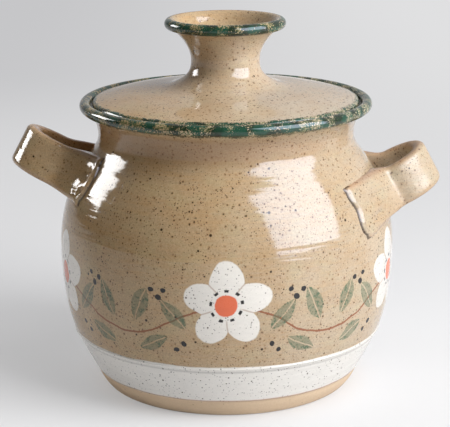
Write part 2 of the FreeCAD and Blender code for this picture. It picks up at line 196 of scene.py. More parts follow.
def in_mm(group):
    """A group's lengths by name, in millimetres."""
    return {name: getattr(group, name) / MM for name in group.__annotations__}


# Outlines -----------------------------------------------------------------------------------


def spline(places, count):
    """A clamped uniform cubic B-spline led by the places: each point is the de Boor blend of the
    four places round it. Returns count points."""
    places = np.array(places, float)
    spans = len(places) - 3
    knots = np.concatenate([[0.0] * 3, np.arange(spans + 1.0), [float(spans)] * 3])
    u = np.linspace(0, spans, count)
    first = np.minimum(u.astype(int), spans - 1)
    lead = [places[first + k] for k in range(4)]
    for level in range(1, 4):
        for k in range(3, level - 1, -1):
            low = knots[first + k]
            high = knots[first + k + 4 - level]
            share = ((u - low) / (high - low))[:, None]
            lead[k] = (1 - share) * lead[k - 1] + share * lead[k]
    return lead[3]


def arc(start, middle, end, count):
    """The part of a circle from start through middle to end."""
    (ax, ay), (bx, by), (cx, cy) = start, middle, end
    d = 2 * (ax * (by - cy) + bx * (cy - ay) + cx * (ay - by))
    a2, b2, c2 = ax * ax + ay * ay, bx * bx + by * by, cx * cx + cy * cy
    ox = (a2 * (by - cy) + b2 * (cy - ay) + c2 * (ay - by)) / d
    oy = (a2 * (cx - bx) + b2 * (ax - cx) + c2 * (bx - ax)) / d
    angles = [math.atan2(y - oy, x - ox) for x, y in (start, middle, end)]
    turn = math.tau if d > 0 else -math.tau
    middle_turn = (angles[1] - angles[0]) % turn
    end_turn = (angles[2] - angles[0]) % turn
    if abs(middle_turn) > abs(end_turn):
        end_turn -= turn
    sweep = angles[0] + np.linspace(0, end_turn, count)
    radius = math.hypot(ax - ox, ay - oy)
    return np.column_stack([ox + radius * np.cos(sweep), oy + radius * np.sin(sweep)])


def line(start, end, count):
    """Even steps along a straight line."""
    return np.linspace(start, end, count)


def outline(*runs):
    """The runs one after another, without the points where they meet twice."""
    points = np.vstack(runs)
    steps = np.hypot(*np.diff(points, axis=0).T)
    return points[np.concatenate([[True], steps > 1e-4])]


def on_roll(outer, top, roll, across, up):
    """A place on a roll of clay, from its outer radius, its top and its own radius."""
    return (outer - roll + roll * across, top - roll + roll * up)


def pot_outside(p):
    """The pot's outside in radius and height, from the foot's edge to the underside of the rim."""
    foot, lift = (p["foot_r"], 0.0), (p["foot_lift_r"], p["foot_lift_z"])
    dip = (lift[0] + p["dip_step"], lift[1] + p["dip_step"])
    low = (p["band_r"], p["band_z"])
    high = (p["band_r"] + p["ridge"], p["band_z"] + 2 * p["ridge"])
    under = on_roll(p["rim_r"], p["rim_top_z"], p["rim_roll"], -0.2, -0.98)
    return outline(
        arc(foot, ((foot[0] + lift[0]) / 2 + 0.8, lift[1] / 2), lift, 12),
        line(lift, dip, 2),
        arc(dip, ((dip[0] + low[0]) / 2 + 0.5, (dip[1] + low[1]) / 2), low, 24),
        arc(low, (p["band_r"] + 1.2 * p["ridge"], p["band_z"] + p["ridge"]), high, 7),
        spline(
            [high]
            + [(p[f"{name}_r"], p[f"{name}_z"]) for name in BELLY_PLACES]
            + [under],
            130,
        ),
    )


BELLY_PLACES = ("flank", "belly_low", "belly_high", "shoulder", "throat", "neck", "flare")


def pot_outline(p):
    """The whole wall from the middle of the foot's recess, up the outside and down the inside."""
    ring_in = p["foot_r"] - p["foot_ring"]
    rim = (p["rim_r"], p["rim_top_z"], p["rim_roll"])
    roll_in = on_roll(*rim, -1, 0)
    outside = pot_outside(p)
    rim_in = roll_in[0]
    lip = rim_in - p["seat_w"]
    seat = p["seat_z"]
    wall = p["wall"]
    inner = [(lip, seat - 1.2)]
    inner += [(p[f"{name}_r"] - wall, p[f"{name}_z"]) for name in reversed(BELLY_PLACES[:-1])]
    inner += [(p["floor_flat_r"] + (p["band_r"] - wall - p["floor_flat_r"]) * 0.75, p["floor_z"])]
    inner += [(p["floor_flat_r"], p["floor_z"])]
    return outline(
        line((0, p["foot_recess"]), (ring_in - p["foot_recess"], p["foot_recess"]), 5),
        line((ring_in - p["foot_recess"], p["foot_recess"]), (ring_in, 0), 3),
        line((ring_in, 0), (p["foot_r"] - 0.6, 0), 5),
        arc((p["foot_r"] - 0.6, 0), (p["foot_r"] - 0.1, 0.22), tuple(outside[1] - (0.25, 0)), 4),
        outside[1:],
        arc(tuple(outside[-1]), on_roll(*rim, 0.8, 0.6), roll_in, 20),
        line(roll_in, (rim_in, seat), 4),
        line((rim_in, seat), (lip + 1.2, seat), 5),
        arc((lip + 1.2, seat), (lip + 0.35, seat - 0.35), (lip, seat - 1.2), 5),
        spline(inner, 60),
        line((p["floor_flat_r"], p["floor_z"]), (0, p["floor_z"]), 6),
    )


def lid_outline(p, q):
    """The lid from the middle of its top, out over the edge and back under the dome."""
    rim_in = p["rim_r"] - 2 * p["rim_roll"]
    lid_r = rim_in - q["gap"]
    seat = p["seat_z"]
    top = seat + q["edge"]
    flange = rim_in - p["seat_w"] - q["flange_gap"]
    under = top + q["dome_high_rise"] - q["thick"] + 1.0
    round_z = seat - q["flange_drop"] + 1.0
    flange_in = flange - q["flange_w"]
    edge_r, half_edge = lid_r - q["edge"] * 0.5, seat + q["edge"] * 0.5
    flange_low = ((flange + flange_in) / 2, seat - q["flange_drop"])
    return outline(
        line((0, q["joint_z"]), (q["joint_r"], q["joint_z"]), 8),
        spline(
            [
                (q["joint_r"], q["joint_z"]),
                (q["joint_r"] + 3.5, q["joint_z"] - 1.9),
                (q["dome_high_r"], top + q["dome_high_rise"]),
                (q["dome_low_r"], top + q["dome_low_rise"]),
                (edge_r, top),
            ],
            60,
        ),
        arc((edge_r, top), (lid_r, half_edge), (edge_r, seat), 16),
        line((edge_r, seat), (flange, seat), 8),
        line((flange, seat), (flange - 0.5, round_z), 5),
        arc((flange - 0.5, round_z), flange_low, (flange_in + 0.5, round_z), 9),
        spline(
            [
                (flange_in + 0.5, round_z),
                (flange_in, top + q["dome_low_rise"] - q["thick"]),
                (q["dome_low_r"] * 0.75, top + q["dome_high_rise"] - q["thick"]),
                (q["dome_high_r"] * 0.5, under),
                (0, under),
            ],
            30,
        ),
    )


def knob_outline(q):
    """The knob from the middle of its foot, up its waist, over its lip and into the dish."""
    roll, top = q["knob_roll"], q["knob_top_z"]
    lip = (q["knob_r"], top, roll)
    waist = (q["waist_low_z"] + q["waist_high_z"]) / 2
    return outline(
        line((0, q["joint_z"]), (q["joint_r"], q["joint_z"]), 6),
        spline(
            [
                (q["joint_r"], q["joint_z"]),
                (q["joint_r"] - 3.5, q["joint_z"] + 1.9),
                (q["waist_r"] + 1.1, q["waist_low_z"]),
                (q["waist_r"], waist),
                (q["waist_r"] + 1.1, q["waist_high_z"]),
                (q["waist_r"] + 5, top - roll * 3.4),
                on_roll(*lip, -0.4, -0.917),
            ],
            60,
        ),
        arc(on_roll(*lip, -0.4, -0.917), on_roll(*lip, 1, 0), on_roll(*lip, 0, 1), 18),
        spline(
            [
                on_roll(*lip, 0, 1),
                (q["knob_r"] - roll * 2, top),
                (q["knob_r"] - roll * 2.6, top - q["dish"] * 0.45),
                (q["dish_floor_r"] * 2.6, top - q["dish"]),
                (q["dish_floor_r"], top - q["dish"]),
            ],
            40,
        ),
        line((q["dish_floor_r"], top - q["dish"]), (0, top - q["dish"]), 4),
    )


# Meshes -------------------------------------------------------------------------------------


# How much deeper the finger marks are inside the pot than outside.
INSIDE_MARKS = 1.6


def mesh_piece(name, points, faces, body, material, nodes, crease=40, marks=None):
    """A smooth-shaded piece from points in millimetres. Edges sharper than crease degrees stay
    crisp. It rides on a body and stands for the nodes. Marks are values at its points, by name,
    that its material reads."""
    mesh = bpy.data.meshes.new(name)
    mesh.from_pydata((points * MM).tolist(), [], faces)
    for mark, values in (marks or {}).items():
        mesh.attributes.new(mark, "FLOAT", "POINT").data.foreach_set("value", values)
    mesh.polygons.foreach_set("use_smooth", [True] * len(mesh.polygons))
    mesh.set_sharp_from_angle(angle=math.radians(crease))
    mesh.validate()
    mesh.materials.append(material)
    piece = bpy.data.objects.new(name, mesh)
    bpy.context.scene.collection.objects.link(piece)
    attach(piece, body)
    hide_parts(*nodes)
    return piece


def closed_rings(grid, ends):
    """A grid of rings as one closed surface, with a fan from each of the two end points."""
    sections, count, _ = grid.shape
    points = np.vstack([grid.reshape(-1, 3), *ends])
    index = np.arange(sections * count).reshape(sections, count)
    beside = np.roll(index, -1, axis=1)
    quads = np.stack([index[:-1], beside[:-1], beside[1:], index[1:]], axis=2).reshape(-1, 4)
    start, end = sections * count, sections * count + 1
    first = np.stack([np.full(count, start), beside[0], index[0]], axis=1)
    last = np.stack([np.full(count, end), index[-1], beside[-1]], axis=1)
    return points, quads.tolist() + first.tolist() + last.tolist()


def turned_surface(profile, turns, rings=0.0, low=0.0, high=0.0):
    """A profile of radius and height turned about the Z axis: x = r cos t, y = r sin t. It starts
    and ends on the axis, where the surface closes in a pole. Between the heights low and high,
    finger marks take up to rings off the outside's radius, and INSIDE_MARKS times that inside."""
    radius, height = profile[1:-1].T
    t = np.arange(turns) * (math.tau / turns)
    grid_r = np.repeat(radius[:, None], turns, axis=1)
    grid_z = np.repeat(height[:, None], turns, axis=1)
    if rings:
        outer = np.arange(len(radius)) < np.argmax(height)
        fade = np.clip((height - low) / 6, 0, 1) * np.clip((high - height) / 6, 0, 1)
        fade = fade * np.where(outer, 1.0, INSIDE_MARKS)
        grid_r = grid_r - rings * fade[:, None] * finger_marks(grid_z, t[None, :])
    grid = np.stack([grid_r * np.cos(t), grid_r * np.sin(t), grid_z], axis=2)
    return closed_rings(grid, [(0, 0, profile[0][1]), (0, 0, profile[-1][1])])


def finger_marks(z, t):
    """Depth from 0 to 1 of the marks that fingers leave on a turning wall: sines of the height,
    each climbing one pitch a turn, so that they run round as a shallow screw. A slow beat in
    height and turn makes them come and go."""
    waves = ((1.9, 0.35, 0.4), (3.1, 0.6, 2.1), (5.3, 0.9, 4.0), (9.7, 1.0, 1.2))
    total = sum(size * np.sin(math.tau * z / pitch + t + start) for pitch, size, start in waves)
    beat = 0.65 + 0.35 * np.sin(z / 13 + 0.8) * np.cos(2 * t + z / 31)
    return 0.5 + 0.5 * beat * total / sum(size for _, size, _ in waves)


# Handles ------------------------------------------------------------------------------------


LEG_SECTIONS, PAD_SECTIONS, BEND_SECTIONS = 34, 50, 22
# How often the hollow between pad and leg is eased, and how far under the wall's surface a pad's
# inner face lies, in millimetres.
EASE_PASSES = 120
UNDER_WALL = 2.6


def handle_loop(p, h, foot, root_r):
    """Half of a handle's loop, from a pad's tip to the middle of the bend: the outer and the inner
    place of each section, in x out from the root and y from the loop's middle."""
    wall = p["wall"]
    reach = (h["out"] + foot["root_in"]) / math.cos(h["rise_angle"])
    thick, bend = h["thick"], h["bend_r"]
    bend_x = reach - thick - bend
    leg = h["leg_gap"] / 2 + thick
    pad, hollow, span = 4.6, 7.0, foot["span"]

    def fall(y):
        return -y * y / root_r * 0.455

    deep = fall(span) - wall * 1.5
    middle, edge = (leg + span) / 2, (leg + span * 5) / 6
    outer = outline(
        spline(
            [
                (fall(span) - wall * 0.5, span),
                (pad * 0.6 + fall(span), span),
                (pad + fall(edge), edge),
                (pad + fall(middle), middle),
                (pad * 1.05 + fall(leg), leg + hollow * 0.35),
                (pad + hollow * 0.8 + fall(leg), leg - pad * 0.55),
                (bend_x * 0.6, bend + thick),
                (bend_x, bend + thick),
            ],
            600,
        )
    )
    leg_start = pad + fall(leg) + hollow * 0.15
    on_pad = outer[:, 1] > leg + hollow
    split = np.argmin(np.abs(outer[:, 0] - leg_start) + 10 * on_pad)
    pad_outer = even(outer[: split + 1], PAD_SECTIONS)
    leg_outer = even(outer[split:], LEG_SECTIONS)
    pad_inner = line((deep, span), (deep, h["leg_gap"] / 2), PAD_SECTIONS)
    inner = [(deep, h["leg_gap"] / 2), (0, h["leg_gap"] / 2), (bend_x * 0.4, bend), (bend_x, bend)]
    leg_inner = even(spline(inner, 200), LEG_SECTIONS)
    turn = np.linspace(math.pi / 2, 0, BEND_SECTIONS)
    ring = np.column_stack([np.cos(turn), np.sin(turn)])
    outside = np.vstack([pad_outer, leg_outer[1:], (bend_x, 0) + ring[1:] * (bend + thick)])
    inside = np.vstack([pad_inner, leg_inner[1:], (bend_x, 0) + ring[1:] * bend])
    return outside, inside, bend_x


def even(points, count):
    """The same line in even steps."""
    walked = np.concatenate([[0], np.cumsum(np.hypot(*np.diff(points, axis=0).T))])
    steps = np.linspace(0, walked[-1], count)
    return np.column_stack([np.interp(steps, walked, points[:, axis]) for axis in (0, 1)])


def handle_section(faces=18, corner=5):
    """The strap's cross-section as one closed ring: for each point its side (1 on the outer face,
    0 on the inner), the part of a rounding that it keeps off the face and off the edge, and how
    far up the face it lies, from -1 to 1."""
    quarter = np.linspace(0, math.pi / 2, corner + 1)[1:]
    rising, falling = 1 - np.cos(quarter), 1 - np.sin(quarter)
    up, down = np.linspace(-1, 1, faces + 1), np.linspace(1, -1, faces // 2 + 1)

    def run(side, off_face, off_edge, height):
        return np.column_stack(np.broadcast_arrays(side, off_face, off_edge, height))

    rows = [run(1.0, 0.0, 1.0, up)]
    rows += [run(1.0, rising, falling, 1.0), run(0.0, falling, rising, 1.0)[:-1]]
    rows += [run(0.0, 0.0, 1.0, down)]
    rows += [run(0.0, rising, falling, -1.0), run(1.0, falling, rising, -1.0)[:-1]]
    return np.vstack(rows)


def handle_surface(p, h, foot, turn):
    """A bent strap: at each section along its loop the rounded ring between the inner and the
    outer place, as high as the strap is there. Near the pot the ring's outer face is laid on the
    wall, one pad thickness off it, and thumbs have pressed dents into it. The hollow between pad
    and leg is eased: each section there moves half way to its neighbours' mean, again and again.
    Returns the points, the faces, and three marks: the seam at a pad's tip, the thin glaze along
    the strap's edges, and the strap's inner side."""
    root_r = p["shoulder_r"] - foot["root_in"]
    outside, inside, bend_x = handle_loop(p, h, foot, root_r)
    half = len(outside)
    mirror = np.array([1.0, -1.0])
    outside = np.vstack([outside, outside[-2::-1] * mirror])
    inside = np.vstack([inside, inside[-2::-1] * mirror])
    ring = handle_section()
    side, off_face, off_edge, up = ring.T
    sections = len(outside)
    steps = np.arange(sections)
    from_tip = np.minimum(steps, sections - 1 - steps)
    thick = np.hypot(*(outside - inside).T)
    soft = np.minimum(h["soft"], thick * 0.49)[:, None]
    kept_off = off_face * soft / thick[:, None]
    outer_side = side > 0.5
    share = np.where(outer_side[None, :], 1 - kept_off, kept_off)
    flat = inside[:, None, :] + (outside - inside)[:, None, :] * share[:, :, None]
    x = flat[:, :, 0]
    tops = []
    for reach in (foot["up"], foot["down"]):
        level = h["width"] / 2
        taper = [
            (-h["flare"], reach),
            (-h["flare"] * 0.4, reach * 0.64 + level * 0.36),
            (bend_x * 0.25, reach * 0.28 + level * 0.72),
            (bend_x * 0.7, level),
            (bend_x * 0.95, level),
        ]
        edge = np.vstack([[(-60.0, reach)], spline(taper, 60), [(90.0, level)]])
        tops.append(np.interp(x, edge[:, 0], edge[:, 1]))
    rounded = 1 - np.clip((from_tip / PAD_SECTIONS - 0.15) / 0.2, 0, 1)
    tip_round = 1.0
    tops = [top - tip_round * (1 - np.sqrt(1 - rounded * rounded))[:, None] for top in tops]
    limit = np.where(up[None, :] > 0, tops[0], tops[1])
    high, low = tops[0] - soft, -(tops[1] - soft)
    on_face = (off_edge == 1)[None, :]
    over_face = low + (high - low) * (up[None, :] + 1) / 2
    z = np.where(on_face, over_face, np.sign(up) * (limit - off_edge * soft))
    edge_line = spline(foot["tip"], 60)
    shift = np.interp(up, edge_line[:, 0], edge_line[:, 1])[None, :]
    fade = 1 - smooth_step(from_tip / (PAD_SECTIONS * 0.9))[:, None]
    y = flat[:, :, 1] + np.sign(flat[:, :, 1]) * shift * fade
    root_z = p["shoulder_z"] - foot["root_down"]
    local = np.stack([x, y, z], axis=2)
    world = placed(local, root_r, root_z, h["rise_angle"], foot["roll"], turn)

    pad_share = 1 - smooth_step((from_tip - PAD_SECTIONS * 0.55) / (PAD_SECTIONS * 0.75))
    along = from_tip / PAD_SECTIONS
    tip = np.clip(along / 0.16, 0, 1) ** 0.5
    near = steps < half
    lip = foot["lip"]
    pad = lip * tip + (h["pad"] * 1.1 - lip) * smooth_step((along - 0.15) / 0.85)
    height = np.where(outer_side[None, :], pad[:, None] * (1 - off_face[None, :]), -UNDER_WALL)
    height = height - 1.2 * (1 - tip)[:, None]
    for where, v, size_s, size_v, depth in foot["dents"]:
        for flag in (near, ~near):
            shift = 0.0 if flag is near else 0.12
            dent = np.exp(-(((along - where - shift) / size_s) ** 2))[:, None]
            dent = dent * np.exp(-(((up - v + shift) / size_v) ** 2))[None, :]
            height = height - np.where(flag[:, None] & outer_side[None, :], dent * depth * h["dent"], 0)
    height = np.maximum(height, -UNDER_WALL)
    laid = on_wall(p, world, height)
    world = world + (laid - world) * pad_share[:, None, None]
    eased = np.exp(-(((along - 1.02) / 0.3) ** 4))[1:-1, None, None] * outer_side[None, :, None]
    for _ in range(EASE_PASSES):
        world[1:-1] += ((world[:-2] + world[2:]) / 2 - world[1:-1]) * eased * 0.5
    seam = (1 - smooth_step((height - 0.4) / 0.5)) * (along < 0.25)[:, None]
    thin = np.broadcast_to(np.sqrt(off_face), height.shape)
    inner = np.broadcast_to(1 - side, height.shape)
    marks = {
        name: np.append(values.ravel(), (0, 0))
        for name, values in (("seam", seam), ("thin", thin), ("inner", inner))
    }
    return *closed_rings(world, world[[0, -1]].mean(axis=1)), marks


def smooth_step(value):
    """0 below 0, 1 above 1, and a smooth rise between."""
    value = np.clip(value, 0, 1)
    return value * value * (3 - 2 * value)


def placed(local, root_r, root_z, rise, roll, turn):
    """A handle's local places twisted about its reach, tipped up by its rise, moved to its root
    and turned round the pot."""
    x, y, z = local[..., 0], local[..., 1], local[..., 2]
    y, z = y * math.cos(roll) - z * math.sin(roll), y * math.sin(roll) + z * math.cos(roll)
    x, z = x * math.cos(rise) - z * math.sin(rise), x * math.sin(rise) + z * math.cos(rise)
    x, z = x + root_r, z + root_z
    x, y = x * math.cos(turn) - y * math.sin(turn), x * math.sin(turn) + y * math.cos(turn)
    return np.stack([x, y, z], axis=-1)


def on_wall(p, places, height):
    """Each place moved square to the pot's wall, to a height over it."""
    wall = pot_outside(p)
    wall_r, wall_z = wall[40:].T
    r = np.hypot(places[..., 0], places[..., 1])
    z = places[..., 2]
    for _ in range(4):
        slope = (np.interp(z + 0.4, wall_z, wall_r) - np.interp(z - 0.4, wall_z, wall_r)) / 0.8
        gap = (r - np.interp(z, wall_z, wall_r)) / np.sqrt(1 + slope * slope)
        move = (height - gap) / np.sqrt(1 + slope * slope)
        r, z = r + move, z - slope * move
    scale = r / np.hypot(places[..., 0], places[..., 1])
    return np.stack([places[..., 0] * scale, places[..., 1] * scale, z], axis=-1)


HANDLE_FEET = {
    "left": {
        "span": 35.5, "up": 18.5, "down": 12.5, "lip": 2.2,
        "root_in": 0.6, "root_down": 2.6, "roll": math.radians(6.0),
        "tip": ((-1, -3.5), (-0.85, -1.5), (-0.4, 0.2), (0.2, 0.7), (0.6, -1.0), (0.9, -2.0), (1, -3.5)),
        "dents": ((0.6, 0.3, 0.2, 0.3, 0.95), (0.36, -0.6, 0.12, 0.2, 0.5)),
    },
    "right": {
        "span": 49.0, "up": 22.5, "down": 10.0, "lip": 1.5,
        "root_in": -2.4, "root_down": 11.8, "roll": 0.0,
        "tip": ((-1, 1.5), (-0.9, 4.0), (-0.4, 4.2), (0, 1.6), (0.4, 1.6), (0.8, 3.4), (1, 2.0)),
        "dents": ((0.55, 0.25, 0.2, 0.3, 0.9), (0.5, -0.5, 0.18, 0.25, 0.8)),
    },
}


# Shader recipes -----------------------------------------------------------------------------


class Signal:
    """A socket's value. Python's operators on it add Math nodes."""

    def __init__(self, recipe, socket):
        self.recipe = recipe
        self.socket = socket

    def math(self, operation, *others):
        return self.recipe.node("ShaderNodeMath", {"operation": operation}, (self, *others))

    def __add__(self, other):
        return self.math("ADD", other)

    __radd__ = __add__

    def __mul__(self, other):
        return self.math("MULTIPLY", other)

    __rmul__ = __mul__

    def __sub__(self, other):
        return self.math("SUBTRACT", other)

    def __rsub__(self, other):
        return self.recipe.node("ShaderNodeMath", {"operation": "SUBTRACT"}, (other, self))

    def __truediv__(self, other):
        return self.math("DIVIDE", other)

    def __pow__(self, other):
        return self.math("POWER", other)

    def __abs__(self):
        return self.math("ABSOLUTE")

    def __neg__(self):
        return self * -1.0

    def cos(self):
        return self.math("COSINE")

    def high(self, other):
        return self.math("MAXIMUM", other)

    def step(self, start, end):
        """0 at start and 1 at end, smooth between. The ends may be in either order."""
        settings = {"interpolation_type": "SMOOTHSTEP"}
        if isinstance(start, (int, float)) and isinstance(end, (int, float)) and start > end:
            return 1.0 - self.step(end, start)
        inputs = {"Value": self, "From Min": start, "From Max": end}
        return self.recipe.node("ShaderNodeMapRange", settings, inputs)


class Recipe:
    """The nodes of a material or of the world, and the place that they are worked out for: in
    millimetres on a piece, and as a direction in the world."""

    def __init__(self, owner, place="Object", unit=MM):
        owner.use_nodes = True
        self.owner = owner
        self.tree = owner.node_tree
        self.tree.nodes.clear()
        self.place = self.node("ShaderNodeTexCoord", {}, {}, place)
        parts = [self.node("ShaderNodeSeparateXYZ", {}, (self.place,), axis) for axis in "XYZ"]
        self.x, self.y, self.z = (part / unit for part in parts)

    def node(self, kind, settings, inputs, output=0):
        """A node of a kind with its settings and the values or links of its sockets."""
        made = self.tree.nodes.new(kind)
        for name, value in settings.items():
            setattr(made, name, value)
        pairs = inputs.items() if isinstance(inputs, dict) else enumerate(inputs)
        for key, value in pairs:
            if isinstance(value, Signal):
                self.tree.links.new(value.socket, made.inputs[key])
            else:
                made.inputs[key].default_value = value
        return Signal(self, made.outputs[output]) if made.outputs else None

    def noise(self, size, detail=2.0, rough=0.5, place=None):
        """Smooth noise from 0 to 1 with features of a size in millimetres."""
        inputs = {"Vector": place or self.place, "Scale": 1 / (size * MM), "Detail": detail}
        return self.node("ShaderNodeTexNoise", {}, {**inputs, "Roughness": rough}, "Fac")

    def stretched(self, x, y, z, shift=0.0):
        """The place scaled along each axis, and moved."""
        inputs = {"Vector": self.place, "Location": (shift, shift, shift), "Scale": (x, y, z)}
        return self.node("ShaderNodeMapping", {}, inputs)

    def mix(self, factor, first, second):
        """The first colour where the factor is 0 and the second where it is 1."""
        return self.node("ShaderNodeMix", {"data_type": "RGBA"}, {0: factor, 6: first, 7: second}, 2)

    def shade(self, colour, factor):
        """A colour times a number."""
        colour = colour if isinstance(colour, Signal) else colour[:3]
        return self.node("ShaderNodeVectorMath", {"operation": "SCALE"}, {0: colour, "Scale": factor})

    def specks(self, cell, size, share, shift=0.0):
        """Round specks from 0 to 1: one in a share of the cells, each with its own size up to a
        radius in millimetres."""
        place = self.stretched(1, 1, 1, shift)
        inputs = {"Vector": place, "Scale": 1 / (cell * MM), "Randomness": 1.0}
        distance = self.node("ShaderNodeTexVoronoi", {}, inputs, "Distance") * cell
        lot = self.node("ShaderNodeTexVoronoi", {}, inputs, "Color")
        red = self.node("ShaderNodeSeparateColor", {}, (lot,), 0)
        green = self.node("ShaderNodeSeparateColor", {}, (lot,), 1)
        radius = size * (0.35 + 0.65 * green)
        inside = 1.0 - (distance / radius).step(0.55, 1.0)
        return inside * (1.0 - red.step(share, share + 0.02))

    def finish(self, colour, roughness, height):
        """The glaze's shader, with the bump from a height in millimetres."""
        bump = self.node("ShaderNodeBump", {}, {"Strength": 1.0, "Distance": MM, "Height": height})
        inputs = {"Base Color": colour, "Roughness": roughness, "IOR": GLAZE_IOR, "Normal": bump}
        shader = self.node("ShaderNodeBsdfPrincipled", {}, inputs)
        self.node("ShaderNodeOutputMaterial", {}, {"Surface": shader})
        return self.owner


GLAZE_IOR = 1.52
GLAZE_ROUGHNESS = 0.09


def buff_glaze(r, c):
    """The speckled buff glaze: its colour, and the height of its surface in millimetres. It is mottled, drawn
    out in fine level lines by the throwing and dotted with iron in three sizes. Light and shade are painted
    into it by side: a warm multiplied tint makes the left darker, the right is painted a little darker, and
    the lid and knob are painted paler from the middle to the right."""
    mottle = r.noise(26, 3.0, 0.55)
    lines = r.noise(9, 4.0, 0.7, r.stretched(0.12, 0.12, 9.0))
    streaks = r.noise(5, 3.0, 0.6, r.stretched(0.45, 0.45, 3.4, 1.7))
    grain = r.noise(0.8, 2.0, 0.6)
    base = r.mix((mottle + lines * 0.7 + streaks * 0.7 - 0.85).step(0.05, 0.7) * 0.8, c.buff, c.buff_warm)
    base = r.mix(r.noise(15, 3.0, 0.6, r.stretched(1, 1, 1.6, 6.0)).step(0.45, 0.7) * 0.5, base, c.buff_cool)
    # Painted light and shade by side: pale runs from 0 on the left to 1 on the right, and the multiplied tint
    # darkens and warms the left.
    pale = r.x.step(-55.0, 80.0)
    painted_shade_mix = {0: 1.0 - pale, 6: base, 7: c.painted_left_shade}
    base = r.node("ShaderNodeMix", {"data_type": "RGBA", "blend_type": "MULTIPLY"}, painted_shade_mix, 2)
    # The level lines, streaks and grain vary the tone. The last factor paints shade, up to 8 % darker on the
    # right.
    base = r.shade(base, (0.34 + lines * 0.28 + streaks * 0.28 + grain * 0.76) * (1.0 - pale * 0.08))
    # Painted light: the lid and the knob are made paler with white slip from the middle to the right.
    painted_lid_light = r.z.step(142.0, 150.0) * r.z.step(187.0, 179.0) * r.x.step(-45.0, 10.0)
    base = r.mix(painted_lid_light * 0.14, base, c.slip)
    crowd = r.noise(22, 2.0, 0.5).step(0.35, 0.65)
    fine = r.specks(1.15, 0.43, 0.8)
    middle = r.specks(2.3, 0.62, 0.78, 0.3)
    bold = r.specks(6.0, 1.0, 0.55, 0.7)
    iron = (fine * (0.5 + 0.45 * crowd)).high(middle * (0.6 + 0.4 * crowd)).high(bold)
    bleed = r.specks(2.3, 1.2, 0.78, 0.3)
    base = r.mix(bleed * 0.28, base, c.halo_and_shade)
    base = r.mix(iron * 0.95, base, c.speck)
    ridges = r.noise(6, 1.0, 0.5, r.stretched(0.2, 0.2, 2.2, 3.9))
    height = r.noise(7, 2.0, 0.5) * 0.05 + lines * 0.025 + ridges * 0.2 - iron * 0.02
    return base, height


def sponge(r, c, base, amount, seed):
    """Sponged green over a base colour where the amount is high: dark dabs with ragged edges, some
    of them blue-green, and round them the olive marks of the sponge's pores with the base between.
    Returns colour and cover."""
    dabs = r.noise(6.5, 2.0, 0.5, r.stretched(1, 1, 1, seed))
    pores = r.noise(0.75, 3.0, 0.7, r.stretched(1, 1, 1, seed + 0.4))
    press = r.noise(9, 1.0, 0.5, r.stretched(1, 1, 1, seed + 1.3))
    reach = amount.step(0.15, 0.6)
    open_marks = (amount * 0.6 + (pores - 0.5) * 3.0 + (dabs - 0.5)).step(0.3, 0.46) * reach
    full_dabs = (amount * 0.6 + (dabs - 0.5) * 2.5 + (pores - 0.5) * 2.6).step(0.38, 0.56) * reach
    olive = r.mix(pores.step(0.5, 0.72), c.sponge_olive, c.sponge_mid)
    deep = r.mix(press.step(0.42, 0.56), c.sponge_dark, c.sponge_teal)
    deep = r.mix(pores.step(0.52, 0.7) * 0.45, deep, c.sponge_mid)
    colour = r.mix(open_marks * 0.9, base, olive)
    return r.mix(full_dabs * 0.97, colour, deep), open_marks.high(full_dabs)


def radius_of(r):
    """The distance from the pot's axis, in millimetres."""
    return (r.x * r.x + r.y * r.y) ** 0.5


def pot_glaze(c):
    """The pot: buff glaze with the rim's shadow painted browner on the neck's left and front, a white dipped
    band over a bare foot that is painted brighter to the left and darker to the right, a garland and a
    sponged rim."""
    r = Recipe(bpy.data.materials.new("pot_glaze"))
    colour, height = buff_glaze(r, c)
    # Painted shadow of the rim on the neck, full on the left and fading out towards the right.
    painted_rim_shadow = r.z.step(126.0, 134.0) * r.z.step(144.0, 140.0) * r.x.step(85.0, -10.0)
    colour = r.mix(painted_rim_shadow * 0.5, colour, c.halo_and_shade)
    colour = garland(r, c, colour)
    waver = (r.noise(19, 2.0, 0.5) - 0.5) * 1.6 + (r.noise(2.2, 2.0, 0.6) - 0.5) * 0.5
    banded = 1.0 - (r.z + waver).step(31.2, 31.9)
    outside = (radius_of(r) - 58.0).step(0.0, 1.0)
    # A grey line under the ridge: partly thinner slip there, partly painted shade under the ridge.
    under_ridge = (1.0 - abs(r.z - 28.4 + waver * 0.3)).high(0.0)
    slip = r.mix(under_ridge * 0.3, slip_glaze(r, c), c.speck_grey)
    colour = r.mix(banded * outside, colour, slip)
    edge = 9.7 + (r.noise(14, 2.0, 0.5) - 0.5)
    burn = (1.0 - abs(r.z - edge) / 0.9).high(0.0) * outside
    colour = r.mix(burn * 0.75, colour, c.burn)
    bare = 1.0 - (r.z - edge).step(-0.35, 0.1)
    # Painted light and shade on the bare foot: up to half as bright again on the left, 12 % darker on the
    # right.
    painted_side_shading = r.x.step(0.0, -60.0) * 0.5 - r.x.step(0.0, 60.0) * 0.12
    clay = r.shade(c.bare, 0.9 + r.noise(1.4, 3.0, 0.7) * 0.2 + painted_side_shading)
    clay = r.mix(r.specks(2.2, 0.4, 0.35, 0.9) * 0.6, clay, c.speck)
    colour = r.mix(bare, colour, clay)
    rim = (r.z + (r.noise(6, 2.0, 0.6) - 0.5) * 2.0).step(142.2, 145.2) * (radius_of(r) - 66.0).step(0.0, 3.0)
    colour, cover = sponge(r, c, colour, rim * 1.02, 0.0)
    roughness = GLAZE_ROUGHNESS + bare * 0.7 + cover * 0.03
    height = height + banded * outside * 0.25 - bare * 0.35 + r.noise(0.9, 3.0, 0.7) * bare * 0.12
    return r.finish(colour, roughness, height)


